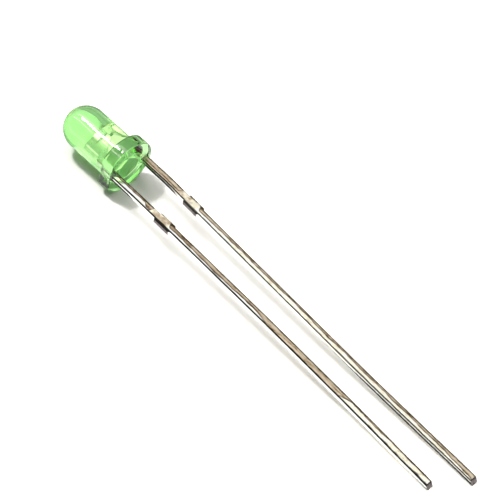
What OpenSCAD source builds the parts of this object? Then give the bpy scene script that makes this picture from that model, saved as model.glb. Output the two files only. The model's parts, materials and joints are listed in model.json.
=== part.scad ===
// Through hole light emitting diode, 3 mm size, lying on a flat surface.
//
// Every piece is drawn upright first: the dome up along +Z, the seating face
// on Z = 0, the two leads down along -Z and the sheet of the leadframe in the
// XZ plane, with the cathode at +X. at_rest() then lays the diode down on its
// rim and its two lead tips, about the centre of the seating face, so that
// +X runs from anode to cathode and +Y from the dome to the tips.

/* [Moulded body] */
// Diameter of the lens barrel
lens_d = 2.9; // [2.7:0.05:3.2]
// Height of the body from the seating face to the top of the dome
body_h = 5.4; // [4.8:0.1:5.8]
// Diameter of the flange
flange_d = 3.8; // [3.6:0.05:4.2]
// Height of the flange
flange_h = 0.9; // [0.8:0.05:1.2]
// Distance from the body axis to the flat that marks the cathode
flat_offset = 1.6; // [1.56:0.01:1.7]

/* [Leads] */
// Distance between the two lead axes where they leave the body
pitch = 2.54; // [2.5:0.01:2.6]
// Width of a lead, in the plane of the leadframe
lead_w = 0.5; // [0.45:0.01:0.52]
// Thickness of the leadframe sheet
lead_t = 0.4; // [0.35:0.01:0.45]
// Length of the anode lead below the seating face
anode_len = 29.7; // [28:0.1:31]
// Length of the cathode lead below the seating face
cathode_len = 28.3; // [26.5:0.1:29]
// How far each lead runs straight out of the body before it drifts sideways
lead_straight = 2.1; // [2.05:0.05:3.4]
// Distance from the seating face to the cut ends of the dam bar
stub_top = 4.0; // [3.5:0.1:4.5]
// Height of the cut ends of the dam bar along the lead
stub_h = 1.3; // [1:0.1:1.5]
// How far the cut ends of the dam bar stand out on each side
stub_out = 0.1; // [0.05:0.01:0.15]

/* [Leadframe inside the body] */
// Height of the anvil, the cathode's head, above the seating face
anvil_top = 2.9; // [2.6:0.05:2.9]
// Height of the anode post above the seating face
post_top = 2.8; // [2.5:0.05:2.8]
// Outside diameter of the coined head around the reflector cup
cup_head_d = 0.84; // [0.8:0.01:0.88]
// Diameter of the reflector cup at its mouth
cup_mouth_d = 0.66; // [0.62:0.01:0.7]
// Diameter of the reflector cup at its floor
cup_floor_d = 0.44; // [0.42:0.01:0.46]
// Depth of the reflector cup
cup_depth = 0.26; // [0.22:0.01:0.28]

/* [Chip and wire] */
// Side of the square chip
chip_w = 0.26; // [0.22:0.01:0.28]
// Height of the chip
chip_h = 0.2; // [0.15:0.01:0.22]
// Thickness of the silver paste under the chip
paste_h = 0.02; // [0.01:0.005:0.03]
// Diameter of the bond wire
wire_d = 0.03; // [0.025:0.005:0.035]
// Diameter of the flattened ball that ends the wire on the chip
ball_d = 0.09; // [0.08:0.005:0.1]
// Height of the flattened ball
ball_h = 0.03; // [0.025:0.005:0.04]
// How far the wire's loop rises above the straight line between its ends
loop_rise = 0.3; // [0.25:0.01:0.35]

/* [Hidden] */
$fn = 96;

lens_r = lens_d / 2;
flange_r = flange_d / 2;
dome_z = body_h - lens_r;       // centre of the dome's sphere
pin_x = pitch / 2;
barrel_edge = lens_r - 0.09;    // furthest that the leadframe reaches inside the barrel
root_fillet = 0.1;              // fillet where the barrel meets the flange
eps = 0.01;

// Sideways drift of each lead towards +X, as [distance below the seating face, drift]
ANODE_DRIFT = [[0, 0], [lead_straight, 0], [7, 0.27], [14, 0.6], [21, 0.92], [30, 1.17]];
CATHODE_DRIFT = [[0, 0], [lead_straight, 0], [7, 0.12], [14, 0.33], [21, 0.62], [30, 1.1]];

// Resting pose: the rim of the seating face and the lower edges of both tips touch
anode_tip_x = lookup(anode_len, ANODE_DRIFT) - pin_x;
cathode_tip_x = lookup(cathode_len, CATHODE_DRIFT) + pin_x;
roll_per_tilt = (anode_len - cathode_len) / (cathode_tip_x - anode_tip_x);
tan_tilt = (flange_r - lead_t / 2) / (anode_len + roll_per_tilt * (anode_tip_x + lead_w / 2));
tilt = atan(tan_tilt);
roll = asin(roll_per_tilt * tan_tilt);

// Heights of the parts that stack up in the cup
cup_floor_z = anvil_top - cup_depth;
chip_z = cup_floor_z + paste_h;
chip_top = chip_z + chip_h;

// Bond wire, from the top of the ball on the chip to the top of the post
WIRE_RINGS = 16;
WIRE_SIDES = 8;
wire_start = [0, chip_top + ball_h / 2];
wire_end = [-0.92, post_top + wire_d / 2];

// Lays an upright piece down in the diode's resting pose
module at_rest() {
    rotate([90 - tilt, 0, 0])
        rotate([0, 0, -roll])
            children();
}

// Sheet of the leadframe: an outline in X and Z, given the sheet's thickness along Y
module sheet(outline) {
    translate([0, lead_t / 2, 0])
        rotate([90, 0, 0])
            linear_extrude(lead_t)
                polygon(outline);
}

// One edge of a lead below the body, from the seating face down to the tip.
// x is the lead's axis at the seating face, and side is +1 or -1
function lead_edge(x, side, len, drift) =
    let (
        stub_end = stub_top + stub_h,
        narrow = side * lead_w / 2,
        wide = side * (lead_w / 2 + stub_out),
        steps = [
            [0, narrow], [lead_straight, narrow], [stub_top, narrow], [stub_top, wide],
            [stub_end, wide], [stub_end, narrow], [7, narrow], [14, narrow], [21, narrow],
            [len, narrow]
        ]
    )
    [for (s = steps) [x + lookup(s[0], drift) + s[1], -s[0]]];

function reversed(list) = [for (i = [len(list) - 1:-1:0]) list[i]];

// Cathode: the leg, a shoulder inside the flange and the broad anvil
module cathode_frame() {
    anvil_left = -0.4;
    anvil_right = 0.88;
    head = [
        [pin_x + lead_w / 2, 0.7], [barrel_edge, 0.9], [barrel_edge, 1.5],
        [anvil_right, 1.65], [anvil_right, anvil_top], [anvil_left, anvil_top],
        [anvil_left, 2.05], [pin_x - lead_w / 2, 0.75]
    ];
    sheet(concat(
        reversed(lead_edge(pin_x, 1, cathode_len, CATHODE_DRIFT)),
        head,
        lead_edge(pin_x, -1, cathode_len, CATHODE_DRIFT)
    ));
}

// Anode: the leg and the post, flared towards its top where the wire lands
module anode_frame() {
    post_left = -1.16;
    post_right = -0.62;
    head = [
        [-pin_x - lead_w / 2, 0.7], [-barrel_edge, 0.9], [-barrel_edge, 1.5],
        [post_left, 1.7], [post_left, post_top], [post_right, post_top],
        [post_right, 2.2], [-0.72, 1.75], [-pin_x + lead_w / 2, 1.1]
    ];
    sheet(concat(
        reversed(lead_edge(-pin_x, -1, anode_len, ANODE_DRIFT)),
        head,
        lead_edge(-pin_x, 1, anode_len, ANODE_DRIFT)
    ));
}

// Round head coined on the anvil, and the reflector cup pressed into it
module cathode_upright() {
    head_h = 0.5;
    difference() {
        union() {
            cathode_frame();
            translate([0, 0, anvil_top - head_h])
                cylinder(d = cup_head_d, h = head_h);
        }
        reflector_cup();
    }
}

module reflector_cup() {
    slope = (cup_mouth_d - cup_floor_d) / cup_depth;
    translate([0, 0, cup_floor_z])
        cylinder(d1 = cup_floor_d, d2 = cup_mouth_d + slope * eps, h = cup_depth + eps);
}

module paste_upright() {
    paste_w = chip_w + 0.04;
    translate([-paste_w / 2, -paste_w / 2, cup_floor_z])
        cube([paste_w, paste_w, paste_h]);
}

module chip_upright() {
    translate([-chip_w / 2, -chip_w / 2, chip_z])
        cube([chip_w, chip_w, chip_h]);
}

// Centre line of the bond wire at t from 0 to 1: straight up off the ball, over and
// down to the post, as [x, z]
function wire_point(t) = [
    wire_start[0] + (wire_end[0] - wire_start[0]) * (1 - cos(90 * t)),
    wire_start[1] + (wire_end[1] - wire_start[1]) * t + loop_rise * sin(180 * pow(t, 0.8))
];

function wire_slope(t) =
    let (step = 0.01, a = wire_point(max(t - step, 0)), b = wire_point(min(t + step, 1)))
    atan2(b[1] - a[1], b[0] - a[0]);

// Ring of points round the centre line at t, square to it
function wire_ring(t) =
    let (c = wire_point(t), slope = wire_slope(t))
    [for (i = [0:WIRE_SIDES - 1])
        let (
            turn = 360 * (i + 0.5) / WIRE_SIDES,
            out = wire_d / 2 * cos(turn),
            across = wire_d / 2 * sin(turn)
        )
        [c[0] - out * sin(slope), across, c[1] + out * cos(slope)]];

module wire_sweep() {
    last = WIRE_RINGS - 1;
    points = [for (r = [0:last]) each wire_ring(r / last)];
    walls = [for (r = [0:last - 1], i = [0:WIRE_SIDES - 1], half = [0, 1])
        let (
            j = (i + 1) % WIRE_SIDES,
            a = r * WIRE_SIDES + i,
            b = r * WIRE_SIDES + j,
            c = b + WIRE_SIDES,
            d = a + WIRE_SIDES
        )
        half == 0 ? [a, b, c] : [a, c, d]];
    near_end = [for (i = [WIRE_SIDES - 1:-1:0]) i];
    far_end = [for (i = [0:WIRE_SIDES - 1]) last * WIRE_SIDES + i];
    polyhedron(points, concat(walls, [near_end, far_end]));
}

// The wire, its flattened ball on the chip and its wedge on the post
module wire_upright() {
    wedge_l = 0.12;
    wedge_w = 0.06;
    union() {
        wire_sweep();
        translate([0, 0, chip_top])
            cylinder(d = ball_d, h = ball_h, $fn = 12);
        translate([wire_end[0] - wedge_l / 2, -wedge_w / 2, post_top])
            cube([wedge_l, wedge_w, wire_d * 0.8]);
    }
}

// Outside of the moulding: flange with its flat, barrel, root fillet and dome
module moulding() {
    difference() {
        cylinder(r = flange_r, h = flange_h);
        translate([flat_offset, -flange_r, -eps])
            cube([flange_r, flange_d, flange_h + 2 * eps]);
    }
    translate([0, 0, flange_h - eps])
        cylinder(r = lens_r, h = dome_z - flange_h + eps);
    translate([0, 0, dome_z])
        sphere(r = lens_r);
    rotate_extrude()
        root_fillet_section();
}

module root_fillet_section() {
    difference() {
        translate([lens_r - eps, flange_h - eps])
            square(root_fillet + eps);
        translate([lens_r + root_fillet, flange_h + root_fillet])
            circle(r = root_fillet, $fn = 48);
    }
}

// ---- Sub-parts, in the resting pose ----

// Clear green epoxy, cast round everything it holds
module epoxy_lens() {
    color([0.45, 0.85, 0.4, 0.6])
        at_rest()
            difference() {
                moulding();
                cathode_upright();
                anode_frame();
                paste_upright();
                chip_upright();
                wire_upright();
            }
}

module cathode_lead() {
    color([0.78, 0.76, 0.7])
        at_rest()
            cathode_upright();
}

module anode_lead() {
    color([0.8, 0.78, 0.72])
        at_rest()
            anode_frame();
}

module led_chip() {
    color([0.25, 0.32, 0.2])
        at_rest()
            chip_upright();
}

module die_attach() {
    color([0.7, 0.7, 0.72])
        at_rest()
            paste_upright();
}

module bond_wire() {
    color([0.95, 0.75, 0.3])
        at_rest()
            wire_upright();
}

epoxy_lens();
cathode_lead();
anode_lead();
led_chip();
die_attach();
bond_wire();
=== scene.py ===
"""Looks of a 3 mm through hole diode with a clear green lens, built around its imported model.

Every piece is drawn upright, in millimetres: the dome up along +Z, the seating face on
Z = 0, both leads down along -Z, the sheet of the leadframe in the XZ plane and the
cathode at +X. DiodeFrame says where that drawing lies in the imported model.
"""

import json
import logging
import math
from collections.abc import Callable
from dataclasses import dataclass, field
from enum import Enum

import bmesh
import bpy
import numpy as np
from mathutils import Matrix, Vector, noise


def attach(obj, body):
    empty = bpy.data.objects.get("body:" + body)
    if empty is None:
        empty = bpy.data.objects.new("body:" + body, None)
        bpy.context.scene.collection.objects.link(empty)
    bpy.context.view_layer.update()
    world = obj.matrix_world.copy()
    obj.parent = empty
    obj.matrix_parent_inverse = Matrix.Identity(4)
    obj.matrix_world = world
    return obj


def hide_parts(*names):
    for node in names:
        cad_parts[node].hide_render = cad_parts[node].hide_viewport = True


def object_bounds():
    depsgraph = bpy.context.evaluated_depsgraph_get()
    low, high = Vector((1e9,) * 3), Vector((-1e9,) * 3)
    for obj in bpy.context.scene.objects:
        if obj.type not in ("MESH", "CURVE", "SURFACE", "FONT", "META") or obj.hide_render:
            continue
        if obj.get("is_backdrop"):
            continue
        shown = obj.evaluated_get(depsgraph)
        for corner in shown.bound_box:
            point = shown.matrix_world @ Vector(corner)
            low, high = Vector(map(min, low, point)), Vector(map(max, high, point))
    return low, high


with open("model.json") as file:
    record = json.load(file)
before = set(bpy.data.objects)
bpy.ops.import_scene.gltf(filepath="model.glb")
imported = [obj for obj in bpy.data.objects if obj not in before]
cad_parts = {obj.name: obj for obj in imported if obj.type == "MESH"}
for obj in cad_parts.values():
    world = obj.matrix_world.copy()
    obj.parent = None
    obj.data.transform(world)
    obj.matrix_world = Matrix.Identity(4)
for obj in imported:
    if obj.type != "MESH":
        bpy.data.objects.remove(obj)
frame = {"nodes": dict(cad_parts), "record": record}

LOG = logging.getLogger("diode")
MM = 0.001
BODY = "root"
PLACES = "strip_place"
WHOLE = (0.0, 1.0)
NOISE = (0.3, 0.7)
NOISE_CORE = (0.35, 0.65)
QUARTERS = ((1, 1), (-1, 1), (-1, -1), (1, -1))
Thing = bpy.types.Object
Material = bpy.types.Material
Socket = bpy.types.NodeSocket
Spot = tuple[float, float, float]
Colour = tuple[float, float, float]
Range = tuple[float, float]
Profile = list[tuple[float, float]]
Ring = list[int]


class Zone(Enum):
    """Which of a piece's finishes a face takes."""

    MAIN = 0
    CUT = 1
    PLATED = 2


class Slot(Enum):
    """Material slots of the record."""

    EPOXY = "green_epoxy"
    TINNED = "tinned_steel"
    CHIP = "chip"
    PASTE = "silver_paste"
    GOLD = "gold_wire"


ZoneRule = Callable[[int], Zone]


def smooth_step(low: float, high: float, value: float) -> float:
    """Eases from 0 at low to 1 at high.

    Args:
        low: value at which the result leaves 0.
        high: value at which the result reaches 1.
        value: where the result is wanted.

    Returns:
        The eased share, from 0 to 1.
    """
    share = min(1.0, max(0.0, (value - low) / (high - low)))
    return share * share * (3 - 2 * share)


def circle(sides: int) -> list[float]:
    """Angles of the points of a ring, in radians."""
    return [2 * math.pi * i / sides for i in range(sides)]


def all_over(zone: Zone) -> ZoneRule:
    """Rule that gives every side of a ring the same finish."""
    return lambda side: zone


def dimmed(colour: Colour, share: float) -> Colour:
    """A colour times a number."""
    return tuple(part * share for part in colour)


def rounded_box(
    half_x: float, half_y: float, corner: float, arc: int, runs: tuple[int, int]
) -> list[Range]:
    """Outline of a rectangle with round corners.

    Args:
        half_x: half its size along x.
        half_y: half its size along y.
        corner: radius of its corners.
        arc: how many steps a corner takes.
        runs: how many steps a side along x takes, and a side along y.

    Returns:
        Points as x and y, counter-clockwise from the middle of the right side.
    """
    corners = []
    for quarter, (sx, sy) in enumerate(QUARTERS):
        x, y = sx * (half_x - corner), sy * (half_y - corner)
        turns = [math.radians(90 * quarter + 90 * i / arc) for i in range(arc + 1)]
        corners.append([(x + corner * math.cos(a), y + corner * math.sin(a)) for a in turns])
    points = []
    for quarter, bend in enumerate(corners):
        (x0, y0), (x1, y1) = bend[-1], corners[(quarter + 1) % 4][0]
        steps = runs[quarter % 2]
        points += bend
        points += [
            (x0 + (x1 - x0) * k / steps, y0 + (y1 - y0) * k / steps) for k in range(1, steps)
        ]
    return points


def put_in_scene(name: str, data: bpy.types.ID) -> Thing:
    """Makes an object and links it to the scene.

    Args:
        name: name of the new object.
        data: its mesh, lamp or camera.

    Returns:
        The new object.
    """
    thing = bpy.data.objects.new(name, data)
    bpy.context.scene.collection.objects.link(thing)
    return thing


@dataclass(frozen=True)
class DiodeFrame:
    """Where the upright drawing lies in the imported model."""

    origin: Vector
    across: Vector
    up: Vector

    @classmethod
    def from_record(cls, record: dict) -> "DiodeFrame":
        """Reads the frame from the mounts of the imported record.

        Args:
            record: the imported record.

        Returns:
            The frame about the centre of the seating face.
        """
        mounts = {mount["name"]: mount for mount in record["mounts"]}
        up = Vector(mounts["lens_barrel"]["axis"]).normalized()
        pins = [Vector(mounts[name]["pos_m"]) for name in ("anode_pin", "cathode_pin")]
        span = pins[1] - pins[0]
        across = (span - up * span.dot(up)).normalized()
        return cls(Vector(mounts["seating_face"]["pos_m"]), across, up)

    def matrix(self) -> Matrix:
        """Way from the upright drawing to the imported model.

        Returns:
            The matrix, for places in metres.
        """
        out = self.up.cross(self.across)
        turn = Matrix((self.across, out, self.up)).transposed().to_4x4()
        return Matrix.Translation(self.origin) @ turn

    def points(self, node: str) -> np.ndarray:
        """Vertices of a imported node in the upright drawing, in millimetres.

        Args:
            node: name of the node.

        Returns:
            One row of x, y and z for each vertex.
        """
        back = self.matrix().inverted()
        return np.array([back @ v.co for v in frame["nodes"][node].data.vertices]) / MM

    def extent(self, node: str) -> tuple[np.ndarray, np.ndarray]:
        """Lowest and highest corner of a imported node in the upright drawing."""
        points = self.points(node)
        return points.min(0), points.max(0)


class Mould:
    """Collects vertices and faces, in millimetres, and turns them into a piece."""

    def __init__(self) -> None:
        """Starts with no vertices and no faces."""
        self.vertices: list[Spot] = []
        self.faces: list[tuple[int, ...]] = []
        self.zones: list[int] = []

    def add_ring(self, points: list[Spot]) -> Ring:
        """Adds one ring of points, or a single point as a pole.

        Args:
            points: the ring's points in order.

        Returns:
            The numbers of the new vertices.
        """
        start = len(self.vertices)
        self.vertices.extend(points)
        return list(range(start, len(self.vertices)))

    def add_face(self, corners: tuple[int, ...], zone: Zone = Zone.MAIN) -> None:
        """Adds one face with its finish."""
        self.faces.append(corners)
        self.zones.append(zone.value)

    def bridge(self, first: Ring, second: Ring, rule: ZoneRule = all_over(Zone.MAIN)) -> None:
        """Joins two rings with quads, or a ring and a pole with triangles.

        Args:
            first: vertices of one ring, or one pole.
            second: vertices of the other ring, or one pole.
            rule: says for each side of the ring which finish it takes.
        """
        count = max(len(first), len(second))
        for i in range(count):
            j = (i + 1) % count
            if len(first) == 1:
                corners = (first[0], second[j], second[i])
            elif len(second) == 1:
                corners = (first[i], first[j], second[0])
            else:
                corners = (first[i], first[j], second[j], second[i])
            self.add_face(corners, rule(i))

    def loft(
        self, rings: list[Ring], rule: ZoneRule = all_over(Zone.MAIN), capped: bool = False
    ) -> None:
        """Joins rings and poles in order.

        Args:
            rings: the rings and poles.
            rule: says for each side of a ring which finish it takes.
            capped: whether a face closes the first and the last ring.
        """
        for first, second in zip(rings, rings[1:]):
            self.bridge(first, second, rule)
        if capped:
            self.add_face(tuple(rings[0]))
            self.add_face(tuple(rings[-1]))

    def revolve(self, profile: Profile, sides: int, zone: Zone = Zone.MAIN) -> None:
        """Turns a profile of radius and height about the Z axis.

        Args:
            profile: radius and height of each ring; a radius of 0 is a pole.
            sides: how many sides a ring has.
            zone: the finish of its faces.
        """
        rings = []
        for radius, z in profile:
            turns = circle(sides) if radius > 0 else [0.0]
            spots = [(radius * math.cos(a), radius * math.sin(a), z) for a in turns]
            rings.append(self.add_ring(spots))
        self.loft(rings, all_over(zone))

    def piece(self, name: str, sharp_deg: float = 40.0) -> Thing:
        """Makes an object of what was collected.

        Args:
            name: name of the new object.
            sharp_deg: edges that turn by more than this stay sharp.

        Returns:
            The new object, still in the upright drawing and in metres.
        """
        mesh = bpy.data.meshes.new(name)
        mesh.from_pydata([dimmed(v, MM) for v in self.vertices], [], self.faces)
        mesh.polygons.foreach_set("material_index", self.zones)
        thing = put_in_scene(name, mesh)
        tidy_mesh(thing, sharp_deg)
        return thing


def tidy_mesh(thing: Thing, sharp_deg: float) -> None:
    """Turns a piece's faces outwards, shades them smooth and keeps its creases sharp.

    Args:
        thing: the piece.
        sharp_deg: edges that turn by more than this stay sharp.
    """
    made = bmesh.new()
    made.from_mesh(thing.data)
    bmesh.ops.recalc_face_normals(made, faces=made.faces)
    for face in made.faces:
        face.smooth = True
    limit = math.radians(sharp_deg)
    for edge in made.edges:
        edge.smooth = len(edge.link_faces) != 2 or edge.calc_face_angle(0.0) < limit
    made.to_mesh(thing.data)
    made.free()


def combine(thing: Thing, other: Thing, operation: str) -> None:
    """Joins a solid to a piece or cuts it out of it, and removes the solid.

    Args:
        thing: the piece that is changed.
        other: the solid, which is used up.
        operation: UNION or DIFFERENCE.
    """
    step = thing.modifiers.new(operation, "BOOLEAN")
    step.operation, step.solver, step.object = operation, "EXACT", other
    graph = bpy.context.evaluated_depsgraph_get()
    made = bpy.data.meshes.new_from_object(thing.evaluated_get(graph))
    thing.modifiers.clear()
    thing.data = made
    bpy.data.objects.remove(other)


# ---------------------------------------------------------------- finishes


class Nodes:
    """Adds and links the nodes of one material, or of the world."""

    def __init__(self, owner: Material | bpy.types.World, diode: DiodeFrame | None = None) -> None:
        """Starts with an empty tree and its output.

        Args:
            owner: the material or world that the nodes belong to.
            diode: frame whose upright axes the patterns follow.
        """
        owner.use_nodes = True
        self.owner = owner
        self.tree = owner.node_tree
        self.tree.nodes.clear()
        self.turn = diode.matrix().inverted().to_euler("XYZ") if diode else None
        kind = "World" if isinstance(owner, bpy.types.World) else "Material"
        self.output = self.add(f"ShaderNodeOutput{kind}")

    @classmethod
    def of_material(cls, name: str, diode: DiodeFrame | None = None) -> "Nodes":
        """Starts the nodes of a new material."""
        return cls(bpy.data.materials.new(name), diode)

    def feed(self, socket: Socket, value: object) -> None:
        """Links a socket to another, or sets its value.

        Args:
            socket: the socket that is fed.
            value: the other socket, or the value.
        """
        if isinstance(value, Socket):
            self.tree.links.new(value, socket)
        else:
            socket.default_value = value

    def add(self, kind: str, settings: dict | None = None, **inputs: object) -> bpy.types.Node:
        """Adds a node.

        Args:
            kind: type of the node.
            settings: the node's own properties.
            inputs: values of its sockets, with _ for a space; a socket is linked.

        Returns:
            The new node.
        """
        node = self.tree.nodes.new(kind)
        for key, value in (settings or {}).items():
            setattr(node, key, value)
        for key, value in inputs.items():
            self.feed(node.inputs[key.replace("_", " ")], value)
        return node

    def end(self, shader: bpy.types.Node, output: str = "Surface") -> None:
        """Links a shader to the output."""
        self.tree.links.new(shader.outputs[0], self.output.inputs[output])

    def place(self, stretch: Spot) -> Socket:
        """Place on the piece in millimetres, along the upright drawing's axes.

        Args:
            stretch: how dense a pattern gets along x, y and z.

        Returns:
            The socket that carries the place.
        """
        spot = self.add("ShaderNodeTexCoord").outputs["Object"]
        if self.turn is not None:
            spot = self.add("ShaderNodeMapping", Vector=spot, Rotation=self.turn).outputs[0]
        scale = tuple(s / MM for s in stretch)
        return self.add("ShaderNodeMapping", Vector=spot, Scale=scale).outputs[0]

    def strip_place(self) -> list[Socket]:
        """Place across, through and down a strip, in millimetres."""
        place = self.add("ShaderNodeAttribute", {"attribute_name": PLACES}).outputs["Vector"]
        return list(self.add("ShaderNodeSeparateXYZ", Vector=place).outputs)

    def facing(self) -> list[Socket]:
        """Which way the surface faces.

        Returns:
            Sockets of the normal's parts along the upright drawing's x, y and z.
        """
        normal = self.add("ShaderNodeTexCoord").outputs["Normal"]
        turned = self.add("ShaderNodeMapping", Vector=normal, Rotation=self.turn).outputs[0]
        return list(self.add("ShaderNodeSeparateXYZ", Vector=turned).outputs)

    def lit_white(self) -> Socket:
        """Tells rays that reach the camera by mirroring and refraction alone from all others.

        Returns:
            The socket that carries 1 for them and 0 for the others.
        """
        path = self.add("ShaderNodeLightPath").outputs
        seen = self.math("MAXIMUM", path["Is Camera Ray"], path["Is Glossy Ray"])
        seen = self.math("MAXIMUM", seen, path["Is Transmission Ray"])
        return self.times(seen, self.math("LESS_THAN", path["Diffuse Depth"], 0.5))

    def grain(self, stretch: Spot, detail: float = 4.0, rough: float = 0.5) -> Socket:
        """Noise in millimetres.

        Args:
            stretch: how dense the noise is along x, y and z.
            detail: how many finer layers it has.
            rough: how strong the finer layers are.

        Returns:
            The socket that carries the noise, from 0 to 1.
        """
        spot = self.place(stretch)
        kind = "ShaderNodeTexNoise"
        return self.add(kind, Vector=spot, Scale=1.0, Detail=detail, Roughness=rough).outputs["Fac"]

    def math(self, operation: str, first: Socket, second: Socket | float = 0.0) -> Socket:
        """Works out one value from one or two.

        Args:
            operation: name of the operation.
            first: socket of the first value.
            second: socket of the second value, or a number.

        Returns:
            The socket that carries the result.
        """
        node = self.add("ShaderNodeMath", {"operation": operation})
        self.feed(node.inputs[0], first)
        self.feed(node.inputs[1], second)
        return node.outputs[0]

    def plus(self, first: Socket, second: Socket | float) -> Socket:
        """Adds two values."""
        return self.math("ADD", first, second)

    def times(self, first: Socket, second: Socket) -> Socket:
        """Multiplies two values."""
        return self.math("MULTIPLY", first, second)

    def span(self, value: Socket, source: Range, target: Range = WHOLE) -> Socket:
        """Maps a value from one range to another, and clamps it there.

        Args:
            value: socket of the value.
            source: range of the value.
            target: range of the result.

        Returns:
            The socket that carries the result.
        """
        ends = {"From_Min": source[0], "From_Max": source[1]}
        ends |= {"To_Min": target[0], "To_Max": target[1]}
        return self.add("ShaderNodeMapRange", Value=value, **ends).outputs["Result"]

    def ramp(self, value: Socket, stops: list[tuple[float, Colour]]) -> Socket:
        """Turns a value into a colour.

        Args:
            value: socket of the value.
            stops: each stop's place and colour, in order.

        Returns:
            The socket that carries the colour.
        """
        node = self.add("ShaderNodeValToRGB", Fac=value)
        elements = node.color_ramp.elements
        elements[0].position, elements[-1].position = stops[0][0], stops[-1][0]
        elements[0].color, elements[-1].color = (*stops[0][1], 1.0), (*stops[-1][1], 1.0)
        for position, colour in stops[1:-1]:
            elements.new(position).color = (*colour, 1.0)
        return node.outputs["Color"]

    def blend(self, value: Socket, ends: Range, low: Colour, high: Colour) -> Socket:
        """Goes from one colour to another between two values."""
        return self.ramp(value, [(ends[0], low), (ends[1], high)])

    def mix(self, share: Socket, first: Socket, second: Socket | tuple) -> Socket:
        """Mixes two colours.

        Args:
            share: socket of the second colour's share.
            first: socket of the first colour.
            second: socket of the second colour, or the colour.

        Returns:
            The socket that carries the mixed colour.
        """
        node = self.add("ShaderNodeMix", {"data_type": "RGBA"})
        colours = [socket for socket in node.inputs if socket.type == "RGBA"]
        for socket, value in zip((node.inputs[0], *colours), (share, first, second)):
            self.feed(socket, value)
        return next(socket for socket in node.outputs if socket.type == "RGBA")

    def relief(self, height: Socket, depth_mm: float, under: Socket | None = None) -> Socket:
        """Turns a height into a normal.

        Args:
            height: socket of the height, from 0 to 1.
            depth_mm: how deep the full range is.
            under: socket of a coarser relief that this one lies on.

        Returns:
            The socket that carries the normal.
        """
        node = self.add("ShaderNodeBump", Height=height, Strength=1.0, Distance=depth_mm * MM)
        if under is not None:
            self.feed(node.inputs["Normal"], under)
        return node.outputs["Normal"]

    def surface(self, **inputs: object) -> Material:
        """Ends the material in the main shader."""
        self.end(self.add("ShaderNodeBsdfPrincipled", **inputs))
        return self.owner


@dataclass(frozen=True)
class ClearEpoxy:
    """Green-tinted casting resin, clear all through, with a moulded skin."""

    tint_low: Colour = (0.49, 0.88, 0.41)
    tint_high: Colour = (0.56, 0.91, 0.48)
    body_tint: Colour = (0.30, 0.93, 0.08)
    body_density: float = 190.0
    ior: float = 1.54
    ripple_mm: float = 0.006
    wave_mm: float = 0.02
    polish: Range = (0.004, 0.03)

    def material(self, diode: DiodeFrame) -> Material:
        """Builds the resin, with slow streaks of tint and faint ripples in its skin.

        Args:
            diode: frame whose upright axes the patterns follow.

        Returns:
            The finished material.
        """
        nodes = Nodes.of_material("clear_green_epoxy", diode)
        clouds = nodes.grain((0.7, 0.7, 0.45), 2.0)
        ripples = nodes.grain((2.2, 2.2, 1.4), 2.0, 0.4)
        waves = nodes.relief(nodes.grain((0.8, 0.8, 0.6), 1.0, 0.4), self.wave_mm)
        tint = (*self.body_tint, 1.0)
        inside = nodes.add("ShaderNodeVolumeAbsorption", Color=tint, Density=self.body_density)
        nodes.end(inside, "Volume")
        return nodes.surface(
            Base_Color=nodes.blend(clouds, NOISE_CORE, self.tint_low, self.tint_high),
            Roughness=nodes.span(nodes.grain((6.0, 6.0, 6.0), 3.0), (0.35, 0.7), self.polish),
            IOR=self.ior,
            Transmission_Weight=1.0,
            Normal=nodes.relief(ripples, self.ripple_mm, waves),
        )


@dataclass(frozen=True)
class StripPattern:
    """Where a point lies on a strip, and the patterns that its tin follows there."""

    across: Socket
    through: Socket
    down: Socket
    streaks: Socket
    patches: Socket

    @classmethod
    def build(cls, nodes: Nodes) -> "StripPattern":
        """Reads the place and lays out the patterns."""
        streaks = nodes.grain((9.0, 9.0, 0.45), 3.0, 0.55)
        return cls(*nodes.strip_place(), streaks, nodes.grain((3.2, 3.2, 2.2), 4.0, 0.62))


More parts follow.
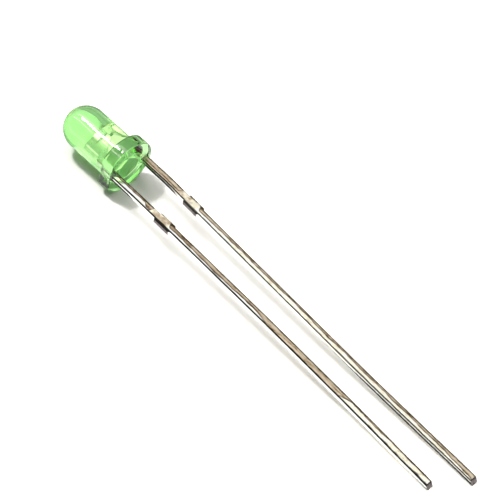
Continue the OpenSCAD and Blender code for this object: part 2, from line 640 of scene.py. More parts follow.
@dataclass(frozen=True)
class TinnedSteel:
    """Steel strip dipped in tin, with a brown band of painted reflection, upper corners painted
    black as a painted dark reflection, and narrow faces whose torn foot carries a painted contact
    shadow.

    The band is a painted reflection of brown surroundings, laid on each broad face along its edge
    away from the cathode's side. Profiles run along the lead: first the distance from the seating
    face in mm, then the value there. They give the band's border as a share of the face, its tone,
    how aged the tin beyond it is, how high the black foot of the narrow faces reaches in mm, torn
    metal with a painted contact shadow, and how much painted shade, a reflection of the shaded
    floor, darkens those faces.
    """

    name: str
    border: Profile
    tone: Profile
    age: Profile
    # How high the black foot reaches: torn metal with a painted contact shadow.
    foot_reach: Profile
    # How much painted shade, a reflection of the shaded floor, darkens the narrow faces, and the
    # grey of that shade.
    darker: Profile = field(default_factory=lambda: [(0.0, 0.0), (1.0, 0.0)])
    shaded_grey: Colour = (0.42, 0.43, 0.42)
    white: Colour = (0.98, 0.98, 0.965)
    cream: Colour = (0.985, 0.94, 0.74)
    beige: Colour = (0.70, 0.60, 0.46)
    tan: Colour = (0.53, 0.42, 0.28)
    brown: Colour = (0.29, 0.21, 0.125)
    umber: Colour = (0.11, 0.074, 0.042)
    # Black of the painted dark reflection on the corners, of the painted contact shadow and of torn
    # metal.
    shade_and_tear_black: Colour = (0.02, 0.018, 0.015)
    corner_from: float = 0.12
    corner_soft: float = 0.08
    rim_from: float = -0.11
    rim_soft: float = 0.04
    lip_from: float = 0.2
    lip_soft: float = 0.02
    upper_from: Range = (0.08, 0.12)
    side_lean: Range = (0.2, 0.4)
    foot_soft: Range = (0.015, -0.015)
    band_soft: Range = (0.02, -0.03)
    half_w: float = 0.25
    half_t: float = 0.2
    length: float = 30.0
    drawn_mm: float = 0.0016
    wave_mm: float = 0.006

    def along(self, nodes: Nodes, down: Socket, profile: Profile) -> Socket:
        """Reads a profile at a distance from the seating face.

        Args:
            nodes: nodes of the material.
            down: the distance.
            profile: the profile.

        Returns:
            The socket that carries its value there.
        """
        stops = [(place / self.length, (level,) * 3) for place, level in profile]
        return nodes.ramp(nodes.span(down, (0.0, self.length)), stops)

    def band(self, nodes: Nodes, at: StripPattern) -> Socket:
        """How far a point lies beyond the border of the band of painted brown reflection.

        Args:
            nodes: nodes of the material.
            at: the strip's places and patterns.

        Returns:
            The socket that carries the distance, as a share of the face's width.
        """
        share = nodes.span(at.across, (-self.half_w, self.half_w))
        slow = nodes.span(nodes.grain((0.4, 0.4, 0.5), 2.0, 0.5), NOISE, (-0.09, 0.09))
        fast = nodes.span(nodes.grain((3.0, 3.0, 2.4), 3.0, 0.6), NOISE, (-0.06, 0.06))
        border = nodes.plus(self.along(nodes, at.down, self.border), nodes.plus(slow, fast))
        return nodes.math("SUBTRACT", share, border)

    def upper_corners(self, nodes: Nodes, at: StripPattern, bend: Socket) -> Socket:
        """Share of painted black, a painted dark reflection, on the two upper corners and on the
        lip beside one of them.

        Args:
            nodes: nodes of the material.
            at: the strip's places and patterns.
            bend: how far the surface turns round a corner.

        Returns:
            The socket that carries the share.
        """
        uneven = nodes.span(nodes.grain((2.0, 2.0, 1.6), 3.0, 0.6), NOISE, (0.0, 0.12))
        ends = (self.corner_from, self.corner_from + self.corner_soft)
        corner = nodes.span(nodes.math("SUBTRACT", bend, uneven), ends)
        varied = nodes.plus(at.across, nodes.span(uneven, (0.0, 0.12), (-0.02, 0.02)))
        lip = nodes.span(varied, (self.lip_from, self.lip_from + self.lip_soft))
        upper = nodes.span(at.through, self.upper_from)
        return nodes.times(nodes.math("MAXIMUM", corner, lip), upper)

    def corner_and_foot_black(self, nodes: Nodes, at: StripPattern) -> Socket:
        """Share of painted black: the upper corners, a painted dark reflection, and the foot of the
        narrow faces, torn metal with a painted contact shadow.

        Args:
            nodes: nodes of the material.
            at: the strip's places and patterns.

        Returns:
            The socket that carries the share.
        """
        lean, rise, _ = nodes.facing()
        # The black on the upper corners is a painted dark reflection.
        corner = self.upper_corners(nodes, at, nodes.math("ABSOLUTE", nodes.times(lean, rise)))
        ragged = nodes.span(nodes.grain((1.0, 1.0, 3.2), 4.0, 0.65), NOISE, (-0.025, 0.025))
        # The foot's black is torn metal with a painted contact shadow, higher towards the tip.
        reach = nodes.plus(self.along(nodes, at.down, self.foot_reach), ragged)
        above = nodes.math("SUBTRACT", nodes.plus(at.through, self.half_t), reach)
        side = nodes.span(nodes.math("ABSOLUTE", lean), self.side_lean)
        foot = nodes.times(nodes.span(above, self.foot_soft), side)
        return nodes.math("MAXIMUM", corner, foot)

    def painted_reflection_band(self, nodes: Nodes, at: StripPattern, beyond: Socket) -> Socket:
        """Colour of the band, a painted reflection of brown surroundings: streaked brown, with
        painted dark lines along its border and its outer rim.

        Args:
            nodes: nodes of the material.
            at: the strip's places and patterns.
            beyond: distance beyond the band's border.

        Returns:
            The socket that carries the colour.
        """
        streaked = nodes.span(at.streaks, NOISE_CORE, (-0.38, 0.38))
        spread = nodes.plus(streaked, nodes.span(at.patches, NOISE_CORE, (-0.2, 0.2)))
        varied = nodes.plus(self.along(nodes, at.down, self.tone), spread)
        stops = [(0.0, self.umber), (0.3, self.brown), (0.62, self.tan), (1.0, self.beige)]
        brown = nodes.ramp(varied, stops)
        # Painted dark lines along the band's border and its outer rim, part of its painted
        # reflection.
        dark_line = nodes.blend(at.streaks, (0.35, 0.7), self.shade_and_tear_black, dimmed(self.umber, 1.5))
        edge = nodes.span(nodes.math("ABSOLUTE", nodes.plus(beyond, 0.07)), (0.12, 0.06))
        edge = nodes.times(edge, nodes.span(at.patches, (0.45, 0.65), (1.0, 0.6)))
        uneven_across = nodes.plus(at.across, nodes.span(at.patches, NOISE, (-0.04, 0.02)))
        rim = nodes.span(uneven_across, (self.rim_from, self.rim_from - self.rim_soft))
        return nodes.mix(nodes.math("MAXIMUM", edge, rim), brown, dark_line)

    def aged(self, nodes: Nodes, at: StripPattern) -> Socket:
        """Colour of the tin beyond the band, from white to tan with its age.

        Args:
            nodes: nodes of the material.
            at: the strip's places and patterns.

        Returns:
            The socket that carries the colour.
        """
        patchy = nodes.span(at.patches, (0.36, 0.6), (0.26, -0.26))
        years = nodes.plus(self.along(nodes, at.down, self.age), patchy)
        stops = [(0.0, self.white), (0.5, self.cream), (0.8, self.beige), (1.0, self.tan)]
        return nodes.ramp(years, stops)

    def narrow(self, nodes: Nodes, at: StripPattern) -> Socket:
        """Colour of the narrow faces: white, with streaks of painted shade, a reflection of the
        shaded floor.

        Args:
            nodes: nodes of the material.
            at: the strip's places and patterns.

        Returns:
            The socket that carries the colour.
        """
        clean = nodes.blend(at.patches, NOISE, self.white, dimmed(self.white, 0.97))
        streaky = nodes.span(at.streaks, NOISE_CORE, (0.4, 1.2))
        # Painted shade on the narrow faces, a reflection of the shaded floor.
        share = nodes.times(self.along(nodes, at.down, self.darker), streaky)
        return nodes.mix(share, clean, nodes.blend(at.patches, NOISE, self.shaded_grey, self.beige))

    def material(self, diode: DiodeFrame) -> Material:
        """Builds the tin, its band of painted brown reflection, its corners painted black as a
        painted dark reflection, and its narrow faces with their torn foot, painted contact shadow
        and painted shade.

        Args:
            diode: frame whose upright axes the patterns follow.

        Returns:
            The finished material.
        """
        nodes = Nodes.of_material(self.name, diode)
        at = StripPattern.build(nodes)
        beyond = self.band(nodes, at)
        # Share of the band, a painted reflection of brown surroundings.
        reflection_band_share = nodes.span(beyond, self.band_soft)
        broad = nodes.mix(reflection_band_share, self.aged(nodes, at), self.painted_reflection_band(nodes, at, beyond))
        sideways = nodes.span(nodes.math("ABSOLUTE", nodes.facing()[0]), (0.82, 0.92))
        colour = nodes.mix(sideways, broad, self.narrow(nodes, at))
        dark = self.corner_and_foot_black(nodes, at)
        # Painted black: dark reflection on the corners, contact shadow and torn metal on the foot.
        black = nodes.blend(at.streaks, NOISE, self.shade_and_tear_black, dimmed(self.shade_and_tear_black, 2.5))
        varied = nodes.span(at.patches, NOISE, (0.10, 0.2))
        waves = nodes.relief(nodes.grain((2.6, 2.6, 0.5), 2.0), self.wave_mm)
        return nodes.surface(
            Base_Color=nodes.mix(dark, colour, black),
            Metallic=nodes.span(dark, WHOLE, (1.0, 0.0)),
            Specular_IOR_Level=nodes.span(dark, WHOLE, (0.5, 0.05)),
            Roughness=nodes.plus(varied, nodes.span(reflection_band_share, WHOLE, (0.0, 0.14))),
            Normal=nodes.relief(at.streaks, self.drawn_mm, waves),
        )


@dataclass(frozen=True)
class SilverPlate:
    """Matt silver plating on the part of the leadframe that the resin covers."""

    light: Colour = (0.95, 0.94, 0.91)
    darker: Colour = (0.80, 0.78, 0.73)
    polish: Range = (0.34, 0.24)
    grain_mm: float = 0.0015

    def material(self, diode: DiodeFrame) -> Material:
        """Builds the plating, with its fine grain and duller clouds.

        Args:
            diode: frame whose upright axes the patterns follow.

        Returns:
            The finished material.
        """
        nodes = Nodes.of_material("matt_silver_plate", diode)
        clouds = nodes.grain((2.2, 2.2, 1.6), 4.0, 0.6)
        grit = nodes.grain((45.0, 45.0, 45.0), 2.0, 0.5)
        return nodes.surface(
            Base_Color=nodes.blend(clouds, (0.35, 0.62), self.darker, self.light),
            Metallic=1.0,
            Roughness=nodes.span(clouds, NOISE, self.polish),
            Normal=nodes.relief(grit, self.grain_mm),
        )


@dataclass(frozen=True)
class ShearedSteel:
    """Bare steel where the strip was cut, black above and below the tear."""

    light: Colour = (0.40, 0.34, 0.35)
    dark: Colour = (0.10, 0.08, 0.085)
    rolled: Colour = (0.01, 0.009, 0.008)
    upper: Range = (0.05, 0.12)
    lower: Range = (-0.14, -0.19)
    polish: Range = (0.6, 0.42)
    tear_mm: float = 0.012

    def material(self, diode: DiodeFrame) -> Material:
        """Builds the cut steel, with tear lines that run through the sheet.

        Args:
            diode: frame whose upright axes the patterns follow.

        Returns:
            The finished material.
        """
        nodes = Nodes.of_material("sheared_steel", diode)
        tears = nodes.grain((9.0, 3.0, 16.0), 5.0, 0.7)
        high = nodes.plus(nodes.strip_place()[1], nodes.span(tears, NOISE, (-0.04, 0.04)))
        upper = nodes.span(high, self.upper)
        lower = nodes.span(high, self.lower, (0.0, 0.8))
        varied = nodes.blend(tears, NOISE_CORE, self.dark, self.light)
        black = nodes.blend(tears, NOISE, self.rolled, dimmed(self.rolled, 2))
        return nodes.surface(
            Base_Color=nodes.mix(nodes.math("MAXIMUM", upper, lower), varied, black),
            Metallic=nodes.span(upper, WHOLE, (0.6, 0.0)),
            Specular_IOR_Level=nodes.span(upper, WHOLE, (0.5, 0.05)),
            Roughness=nodes.span(tears, NOISE, self.polish),
            Normal=nodes.relief(tears, self.tear_mm),
        )


@dataclass(frozen=True)
class ChipCrystal:
    """Sawn crystal of the chip."""

    light: Colour = (0.36, 0.40, 0.17)
    dark: Colour = (0.10, 0.13, 0.06)
    polish: Range = (0.22, 0.5)
    ior: float = 2.2
    saw_mm: float = 0.002

    def material(self, diode: DiodeFrame) -> Material:
        """Builds the crystal, with saw marks up its sides.

        Args:
            diode: frame whose upright axes the patterns follow.

        Returns:
            The finished material.
        """
        nodes = Nodes.of_material("sawn_crystal", diode)
        marks = nodes.grain((14.0, 14.0, 60.0), 3.0, 0.6)
        return nodes.surface(
            Base_Color=nodes.blend(marks, NOISE, self.dark, self.light),
            Roughness=nodes.span(marks, NOISE, self.polish),
            IOR=self.ior,
            Normal=nodes.relief(marks, self.saw_mm),
        )


@dataclass(frozen=True)
class SilverPaste:
    """Silver-filled paste that holds the chip."""

    light: Colour = (0.72, 0.71, 0.68)
    dark: Colour = (0.42, 0.41, 0.39)
    polish: Range = (0.35, 0.6)
    flake_mm: float = 0.004

    def material(self, diode: DiodeFrame) -> Material:
        """Builds the paste, with its grains of silver.

        Args:
            diode: frame whose upright axes the patterns follow.

        Returns:
            The finished material.
        """
        nodes = Nodes.of_material("silver_paste_grain", diode)
        spot = nodes.place((60.0, 60.0, 60.0))
        flakes = nodes.add("ShaderNodeTexVoronoi", Vector=spot, Scale=1.0).outputs["Distance"]
        return nodes.surface(
            Base_Color=nodes.blend(flakes, (0.1, 0.8), self.light, self.dark),
            Metallic=0.6,
            Roughness=nodes.span(flakes, (0.0, 0.8), self.polish),
            Normal=nodes.relief(flakes, self.flake_mm),
        )


@dataclass(frozen=True)
class DrawnGold:
    """Gold of the bond wire and its ball."""

    light: Colour = (1.0, 0.78, 0.36)
    dark: Colour = (0.80, 0.54, 0.20)
    polish: Range = (0.15, 0.3)
    scratch_mm: float = 0.0006

    def material(self, diode: DiodeFrame) -> Material:
        """Builds the gold, with fine scratches from drawing.

        Args:
            diode: frame whose upright axes the patterns follow.

        Returns:
            The finished material.
        """
        nodes = Nodes.of_material("drawn_gold", diode)
        scratches = nodes.grain((40.0, 90.0, 40.0), 3.0, 0.6)
        return nodes.surface(
            Base_Color=nodes.blend(scratches, NOISE, self.dark, self.light),
            Metallic=1.0,
            Roughness=nodes.span(scratches, NOISE, self.polish),
            Normal=nodes.relief(scratches, self.scratch_mm),
        )


ANODE_TIN = TinnedSteel(
    name="tinned_steel_anode",
    # Border and tone place the band of painted brown reflection along the lead.
    border=[
        (0.0, 0.72), (3.3, 0.7), (3.5, 0.0), (5.0, 0.0), (5.2, 0.72), (7.0, 0.58), (9.0, 0.52),
        (24.0, 0.5), (26.0, 0.62), (29.7, 0.85),
    ],
    tone=[
        (0.0, 0.85), (3.4, 0.8), (5.2, 0.5), (7.0, 0.62), (15.0, 0.55), (20.0, 0.6), (24.0, 0.75),
        (29.7, 0.9),
    ],
    age=[
        (0.0, 1.1), (3.3, 1.0), (3.6, 0.82), (4.9, 0.82), (5.2, 0.0), (7.0, 0.1), (9.0, 0.36),
        (29.7, 0.4),
    ],
    # Black foot along the lead: torn metal with a painted contact shadow.
    foot_reach=[
        (0.0, 0.0), (0.3, 0.0), (0.5, 0.25), (3.0, 0.23), (3.6, 0.0), (14.0, 0.0), (19.0, 0.12),
        (21.0, 0.22), (29.7, 0.23),
    ],
    # Painted shade on the narrow faces along the lead, a reflection of the shaded floor.
    darker=[
        (0.0, 0.0), (0.2, 0.0), (0.5, 0.9), (3.3, 0.6), (3.6, 0.0), (15.0, 0.0), (18.0, 0.6),
        (22.0, 0.5), (29.7, 0.35),
    ],
    # Black of the painted dark reflection, the painted contact shadow and torn metal.
    shade_and_tear_black=(0.03, 0.028, 0.022),
    corner_from=0.18,
    lip_from=0.22,
)
CATHODE_TIN = TinnedSteel(
    name="tinned_steel_cathode",
    # Border and tone place the band of painted brown reflection along the lead.
    border=[
        (0.0, 0.48), (2.8, 0.5), (3.0, 0.88), (3.4, 0.9), (3.5, 0.0), (4.9, 0.0), (5.1, 0.74),
        (13.5, 0.68), (14.2, 1.1), (20.3, 1.1), (21.3, 0.42), (24.0, 0.36), (28.3, 0.24),
    ],
    tone=[
        (0.0, 0.75), (3.0, 0.4), (5.1, 0.6), (7.0, 0.6), (13.5, 0.6), (14.5, 0.72), (20.5, 0.74),
        (21.5, 0.6), (28.3, 0.5),
    ],
    age=[
        (0.0, 0.0), (3.4, 0.2), (3.6, 0.86), (4.9, 0.86), (5.1, 0.0), (14.0, 0.1), (20.5, 0.3),
        (21.5, 0.4), (28.3, 0.45),
    ],
    # Black foot along the lead: torn metal with a painted contact shadow.
    foot_reach=[(0.0, 0.22), (1.6, 0.2), (2.2, 0.0), (26.0, 0.0), (28.3, 0.15)],
    # Black of the painted dark reflection, the painted contact shadow and torn metal.
    shade_and_tear_black=(0.008, 0.007, 0.006),
    corner_from=0.08,
    lip_from=0.19,
)


@dataclass(frozen=True)
class Wardrobe:
    """Every finish of the diode, built once."""

    epoxy: Material
    anode_tin: Material
    cathode_tin: Material
    plated: Material
    sheared: Material
    crystal: Material
    paste: Material
    gold: Material

    @classmethod
    def build(cls, diode: DiodeFrame) -> "Wardrobe":
        """Builds every finish.

        Args:
            diode: frame whose upright axes the patterns follow.

        Returns:
            The finishes.
        """
        leads = (ANODE_TIN, CATHODE_TIN, SilverPlate(), ShearedSteel())
        finishes = (ClearEpoxy(), *leads, ChipCrystal(), SilverPaste(), DrawnGold())
        return cls(*[finish.material(diode) for finish in finishes])


# ---------------------------------------------------------------- pieces


@dataclass
class Piece:
    """A piece of the diode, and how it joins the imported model."""

    diode: DiodeFrame
    finishes: Wardrobe

    def settle(self, thing: Thing, node: str, slot: Slot, materials: list[Material]) -> Thing:
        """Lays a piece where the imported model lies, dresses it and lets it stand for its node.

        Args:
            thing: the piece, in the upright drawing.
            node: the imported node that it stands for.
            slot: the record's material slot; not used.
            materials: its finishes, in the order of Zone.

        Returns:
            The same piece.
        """
        zones = [polygon.material_index for polygon in thing.data.polygons]
        thing.data.materials.clear()
        for material in materials:
            thing.data.materials.append(material)
        thing.data.polygons.foreach_set("material_index", zones)
        thing.data.transform(self.diode.matrix())
        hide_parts(node)
        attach(thing, BODY)
        return thing


@dataclass
class EpoxyLens(Piece):
    """The casting: dome, barrel, root fillet, flange with its flat, and the seating face."""

    sides: int = 288
    base_rings: int = 40
    bend_rings: int = 6
    wall_rings: int = 8
    shelf_rings: int = 6
    barrel_rings: int = 20
    dome_rings: int = 60
    root_fillet: float = 0.1
    top_round: float = 0.07
    rim_round: float = 0.05
    flat_corner: float = 0.03
    flat_reach: float = 0.1
    dish_depth: float = 0.05
    dish_edge: float = 1.62
    dish_flat: float = 0.55
    creep_rise: float = 0.16
    creep_reach: float = 0.13
    creep_fade: float = 1.6
    creep_lobes: float = 2.1
    pins: list[tuple[float, float, float, float]] = field(default_factory=list)

    def measure(self) -> None:
        """Takes the casting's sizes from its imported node."""
        points = self.diode.points("epoxy_lens")
        radii = np.hypot(points[:, 0], points[:, 1])
        self.height = float(points[:, 2].max())
        self.flange_r = float(radii.max())
        self.flat = float(points[:, 0].max())
        self.flange_h = float(points[radii > self.flange_r - 0.05][:, 2].max())
        self.barrel_r = float(radii[points[:, 2] > self.flange_h + self.root_fillet + 0.02].max())
        self.face_r = self.flange_r - self.rim_round

    def outline(self, turn: float) -> float:
        """Radius of the flange at an angle, less where the flat cuts it.

        Args:
            turn: angle from the cathode's side, in radians.

        Returns:
            The radius in millimetres, eased over the flat's two corners.
        """
        if math.cos(turn) <= self.flat_reach:
            return self.flange_r
        flat = self.flat / math.cos(turn)
        gap, soft = flat - self.flange_r, self.flat_corner
        return min(flat, self.flange_r) - 0.5 * (math.sqrt(gap * gap + soft * soft) - abs(gap))

    def profile(self) -> list[Spot]:
        """Rings of the casting from the seating face to just below the top of the dome.

        Returns:
            Radius, height and how much of the flat each ring takes, for each ring.
        """
        rim, top, root, flange_h = self.rim_round, self.top_round, self.root_fillet, self.flange_h
        quarter = self.shares(self.bend_rings, math.pi / 2)
        rings = []
        for radius in self.shares(self.base_rings, self.face_r):
            level = smooth_step(self.dish_flat, 1.0, radius / self.dish_edge)
            rings.append((radius, self.dish_depth * (1 - level), radius / self.flange_r))
        rings += [(self.face_r + rim * math.sin(a), rim - rim * math.cos(a), 1.0) for a in quarter]
        wall = self.shares(self.wall_rings, flange_h - top - rim)
        rings += [(self.flange_r, rim + rise, 1.0) for rise in wall]
        shoulder = self.flange_r - top
        rings += [
            (shoulder + top * math.cos(a), flange_h - top + top * math.sin(a), 1.0)
            for a in quarter
        ]
        foot = self.barrel_r + root
        for share in self.shares(self.shelf_rings):
            rings.append((shoulder + (foot - shoulder) * share, flange_h, 1 - share))
        rings += [
            (foot - root * math.sin(a), flange_h + root - root * math.cos(a), 0.0) for a in quarter
        ]
        centre, start = self.height - self.barrel_r, flange_h + root
        barrel = self.shares(self.barrel_rings, centre - start)
        rings += [(self.barrel_r, start + rise, 0.0) for rise in barrel]
        rings += [
            (self.barrel_r * math.cos(a), centre + self.barrel_r * math.sin(a), 0.0)
            for a in self.shares(self.dome_rings, math.pi / 2)
        ]
        return rings[:-1]

    @staticmethod
    def shares(count: int, whole: float = 1.0) -> list[float]:
        """Equal steps from just above 0 up to the whole."""
        return [whole * i / count for i in range(1, count + 1)]

    def creep(self, x: float, y: float) -> float:
        """How far the resin has crept down the nearest lead at a point of the seating face.

        Args:
            x: place across the leads.
            y: place through the sheet.

        Returns:
            The drop below the seating face.
        """
        drop = 0.0
        for left, right, half, lean in self.pins:
            middle = (left + right) / 2
            away_x = max(0.0, abs(x - middle) - (right - left) / 2)
            away_y = max(0.0, abs(y) - half)
            away = math.hypot(away_x, away_y) / self.creep_reach
            uneven = 1 + lean * math.sin(self.creep_lobes * math.atan2(y, x - middle))
            drop = max(drop, self.creep_rise * uneven * math.exp(-away * self.creep_fade))
        return drop

    def build(self) -> Thing:
        """Builds the casting as one skin, its seating face dished and crept onto both leads.

        Returns:
            The casting, in place.
        """
        self.measure()
        mould = Mould()
        rings = [mould.add_ring([(0.0, 0.0, self.dish_depth)])]
        turns = circle(self.sides)
        cuts = [self.outline(a) - self.flange_r for a in turns]
        for radius, height, share in self.profile():
            on_face = height <= self.dish_depth and radius <= self.face_r + 1e-6
            points = []
            for a, cut in zip(turns, cuts):
                here = radius + share * cut
                x, y = here * math.cos(a), here * math.sin(a)
                points.append((x, y, height - (self.creep(x, y) if on_face else 0.0)))
            rings.append(mould.add_ring(points))
        rings.append(mould.add_ring([(0.0, 0.0, self.height)]))
        mould.loft(rings)
        thing = mould.piece("lens_casting", 50.0)
        return self.settle(thing, "epoxy_lens", Slot.EPOXY, [self.finishes.epoxy])


@dataclass
class Strip(Piece):
    """A lead stamped from strip: rounded edges, crowned faces, dam bar ends and a sheared tip."""

    node: str = "anode_lead"
    name: str = "anode_strip"
    sharp_deg: float = 38.0
    corner: float = 0.058
    corner_steps: int = 5
    runs: tuple[int, int] = (8, 4)
    edge_sides: frozenset[int] = frozenset((*range(0, 3), *range(15, 25), *range(37, 44)))
    corner_most: float = 0.8
    crown: float = 0.012
    side_crown: float = 0.6
    end_round: float = 0.03
    spacing: float = 0.14
    corner_gap: float = 0.018
    shear_slope: float = 0.55
    shear_fade: float = 0.9
    burr: float = 0.05
    burr_grain: Range = (14.0, 9.0)
    torn_rings: Spot = (0.82, 0.6, 0.35)
    torn_grain: float = 11.0
    torn_rise: float = 0.03
    torn_depth: float = 0.05
    torn_middle: float = 0.04
    plated_from: float = 0.05
    leg_below: float = -0.5
    bar_below: float = -2.0
    bar_extra: float = 0.15
    twist_deg: float = 0.0
    twist_from: float = -14.0
    wander: float = 0.012
    wander_between: Range = (-0.3, -1.5)
    wander_pace: float = 0.45
    seed: float = 3.0

    def measure(self) -> None:
        """Takes the outline of the strip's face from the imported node, as straight edges."""
        points = self.diode.points(self.node)
        self.half = float(np.abs(points[points[:, 2] < 0][:, 1]).max())
        on_face = np.abs(points[:, 1] - self.half) < 0.002
        counts: dict[tuple[Range, Range], int] = {}
        for polygon in frame["nodes"][self.node].data.polygons:
            corners = list(polygon.vertices)
            if not all(on_face[c] for c in corners):
                continue
            spots = [tuple(np.round(points[c][[0, 2]], 4)) for c in corners]
            for a, b in zip(spots, spots[1:] + spots[:1]):
                key = (min(a, b), max(a, b))
                counts[key] = counts.get(key, 0) + 1
        self.edges = [key for key, count in counts.items() if count == 1]
        levels = [z for edge in self.edges for _, z in edge]
        self.top, self.tip = max(levels), min(levels)

    def reach(self, z: float) -> Range:
        """Left and right edge of the strip at a height.

        Args:
            z: height in the upright drawing.

        Returns:
            The least and the greatest x of the outline there.
        """
        found = []
        for (x0, z0), (x1, z1) in self.edges:
            if min(z0, z1) <= z <= max(z0, z1) and abs(z1 - z0) > 1e-6:
                found.append(x0 + (x1 - x0) * (z - z0) / (z1 - z0))
        return min(found), max(found)

    def heights(self) -> list[float]:
        """Heights of the rings, close together at the outline's corners.

        Returns:
            The heights from the tip to the top.
        """
        near = self.corner_gap
        corners = {round(spot[1], 3) for edge in self.edges for spot in edge}
        wanted = {round(c + d, 4) for c in corners for d in (-near, near)}
        steps = int((self.top - self.tip) / self.spacing)
        wanted |= {round(self.tip + (self.top - self.tip) * i / steps, 4) for i in range(steps + 1)}
        low, high = self.tip + self.end_round, self.top - self.end_round
        kept = sorted(z for z in wanted if low < z < high)
        return [low, *[z for z, before in zip(kept, [low, *kept]) if z - before > near * 0.9], high]

    def section(self, left: float, right: float, inset: float) -> list[Range]:
        """Cross-section of the strip: a rectangle with round corners and crowned faces.

        Args:
            left: least x.
            right: greatest x.
            inset: how far the whole outline is drawn in.

        Returns:
            Points as x and y, counter-clockwise from the middle of the right edge.
        """
        middle, half_w, half_t = (left + right) / 2, (right - left) / 2 - inset, self.half - inset
        corner = min(self.corner, half_w * self.corner_most, half_t * self.corner_most)
        crown, crowned = self.crown, []
        for x, y in rounded_box(half_w, half_t, corner, self.corner_steps, self.runs):
            u, v = x / half_w, y / half_t
            x -= crown * self.side_crown * v * v * u
            crowned.append((middle + x, y - crown * u * u * v))
        return crowned

    def rule(self, z: float, bar: bool) -> ZoneRule:
        """Finish of each side of the section at a height.

        Args:
            z: height in the upright drawing.
            bar: whether the dam bar's cut ends are there.

        Returns:
            A function from the side's number to its finish.
        """
        if z > self.plated_from:
            return all_over(Zone.PLATED)
        if bar:
            return lambda side: Zone.CUT if side in self.edge_sides else Zone.MAIN
        return all_over(Zone.MAIN)

    def place_point(self, x: float, y: float, z: float, middle: float) -> Spot:
        """Twists, sways and shears one point of the strip.

        Args:
            x: place across the leads.
            y: place through the sheet.
            z: height of the ring.
            middle: x of the strip's centre line there.

        Returns:
            The point's final place.
        """
        cos, sin = math.cos(self.twist(z)), math.sin(self.twist(z))
        dx = x - middle
        x, y = middle + dx * cos + y * sin, y * cos - dx * sin
        shear = 1 - smooth_step(self.tip, self.tip + self.shear_fade, z)
        return x + self.sway(z), y, z + self.shear_slope * (y + self.half) * shear

    def twist(self, z: float) -> float:
        """Turn of the strip about its own length at a height, in radians."""
        return math.radians(self.twist_deg) * smooth_step(self.twist_from, self.tip, z)

    def sway(self, z: float) -> float:
        """Sideways wander of the strip at a height."""
        swing = noise.noise(Vector((self.seed, 0.0, z * self.wander_pace)))
        return self.wander * smooth_step(*self.wander_between, z) * swing

    def mark_places(self, thing: Thing) -> None:
        """Stores how far each vertex lies across, through and along the strip, in millimetres.

        Args:
            thing: the finished strip, still in the upright drawing.
        """
        places = thing.data.attributes.new(PLACES, "FLOAT_VECTOR", "POINT")
        for vertex, place in zip(thing.data.vertices, places.data):
            x, y, z = vertex.co / MM
            near = min(max(z, self.tip + 0.001), -0.001)
            dx = x - sum(self.reach(near)) / 2 - self.sway(near)
            cos, sin = math.cos(self.twist(near)), math.sin(self.twist(near))
            place.vector = (dx * cos - y * sin, y * cos + dx * sin, -z)

    def tear(self, mould: Mould, ring: Ring) -> None:
        """Closes the tip with a torn face, rough towards its middle.

        Args:
            mould: the mould that holds the strip.
            ring: the tip's ring.
        """
        spots = [Vector(mould.vertices[v]) for v in ring]
        centre = sum(spots, Vector()) / len(spots)
        fine_x, fine_y = self.burr_grain
        for v, spot in zip(ring, spots):
            low = max(0.0, -spot.y / self.half)
            ragged = 0.5 + noise.noise(Vector((spot.x * fine_x, spot.y * fine_y, self.seed)))
            x, y, z = mould.vertices[v]
            mould.vertices[v] = (x, y, z - self.burr * low * max(0.0, ragged) + self.burr * 0.5)
        rings = [ring]
        for share in self.torn_rings:
            points = []
            for spot in spots:
                q = centre + (spot - centre) * share
                grain = Vector((q.x * self.torn_grain, q.y * self.torn_grain, self.seed + 5))
                rise = self.torn_rise + self.torn_depth * noise.noise(grain)
                points.append((q.x, q.y, q.z + rise))
            rings.append(mould.add_ring(points))
        rings.append(mould.add_ring([(centre.x, centre.y, centre.z + self.torn_middle)]))
        mould.loft(rings, all_over(Zone.CUT))

    def build_strip(self) -> Thing:
        """Lofts the strip from its tip to its head.

        Returns:
            The strip, in the upright drawing.
        """
        self.measure()
        mould = Mould()
        soft = self.end_round
        rows = [(self.tip + soft * 0.1, soft * 0.5), (self.tip + soft * 0.4, soft * 0.15)]
        rows += [(z, 0.0) for z in self.heights()]
        rows += [(self.top - soft * 0.3, soft * 0.3), (self.top, soft)]
        rings, widths = [], []
        for z, inset in rows:
            left, right = self.reach(min(max(z, self.tip + 0.001), self.top - 0.001))
            middle = (left + right) / 2
            widths.append(right - left)
            outline = self.section(left, right, inset)
            rings.append(mould.add_ring([self.place_point(x, y, z, middle) for x, y in outline]))
        self.tear(mould, rings[0])
        mould.add_face(tuple(rings[-1]), Zone.PLATED)
        leg = min(width for width, (z, _) in zip(widths, rows) if z < self.leg_below)
        for k in range(len(rings) - 1):
            z = (rows[k][0] + rows[k + 1][0]) / 2
            wide = min(widths[k], widths[k + 1]) > leg + self.bar_extra
            mould.bridge(rings[k], rings[k + 1], self.rule(z, wide and z < self.bar_below))
        return mould.piece(self.name, self.sharp_deg)

    def tin(self) -> Material:
        """The tin of this strip."""
        return self.finishes.anode_tin

    def dress(self, thing: Thing) -> Thing:
        """Marks the strip's places, and lays it in place with its finishes.

        Args:
            thing: the strip, in the upright drawing.

        Returns:
            The same strip, in place.
        """
        self.mark_places(thing)
        finishes = [self.tin(), self.finishes.sheared, self.finishes.plated]
        return self.settle(thing, self.node, Slot.TINNED, finishes)

    def build(self) -> Thing:
        """Builds the strip and lays it in place."""
        return self.dress(self.build_strip())

    def span_at_face(self) -> Spot:
        """Left edge, right edge and half thickness where the strip leaves the casting."""
        return *self.reach(-0.01), self.half


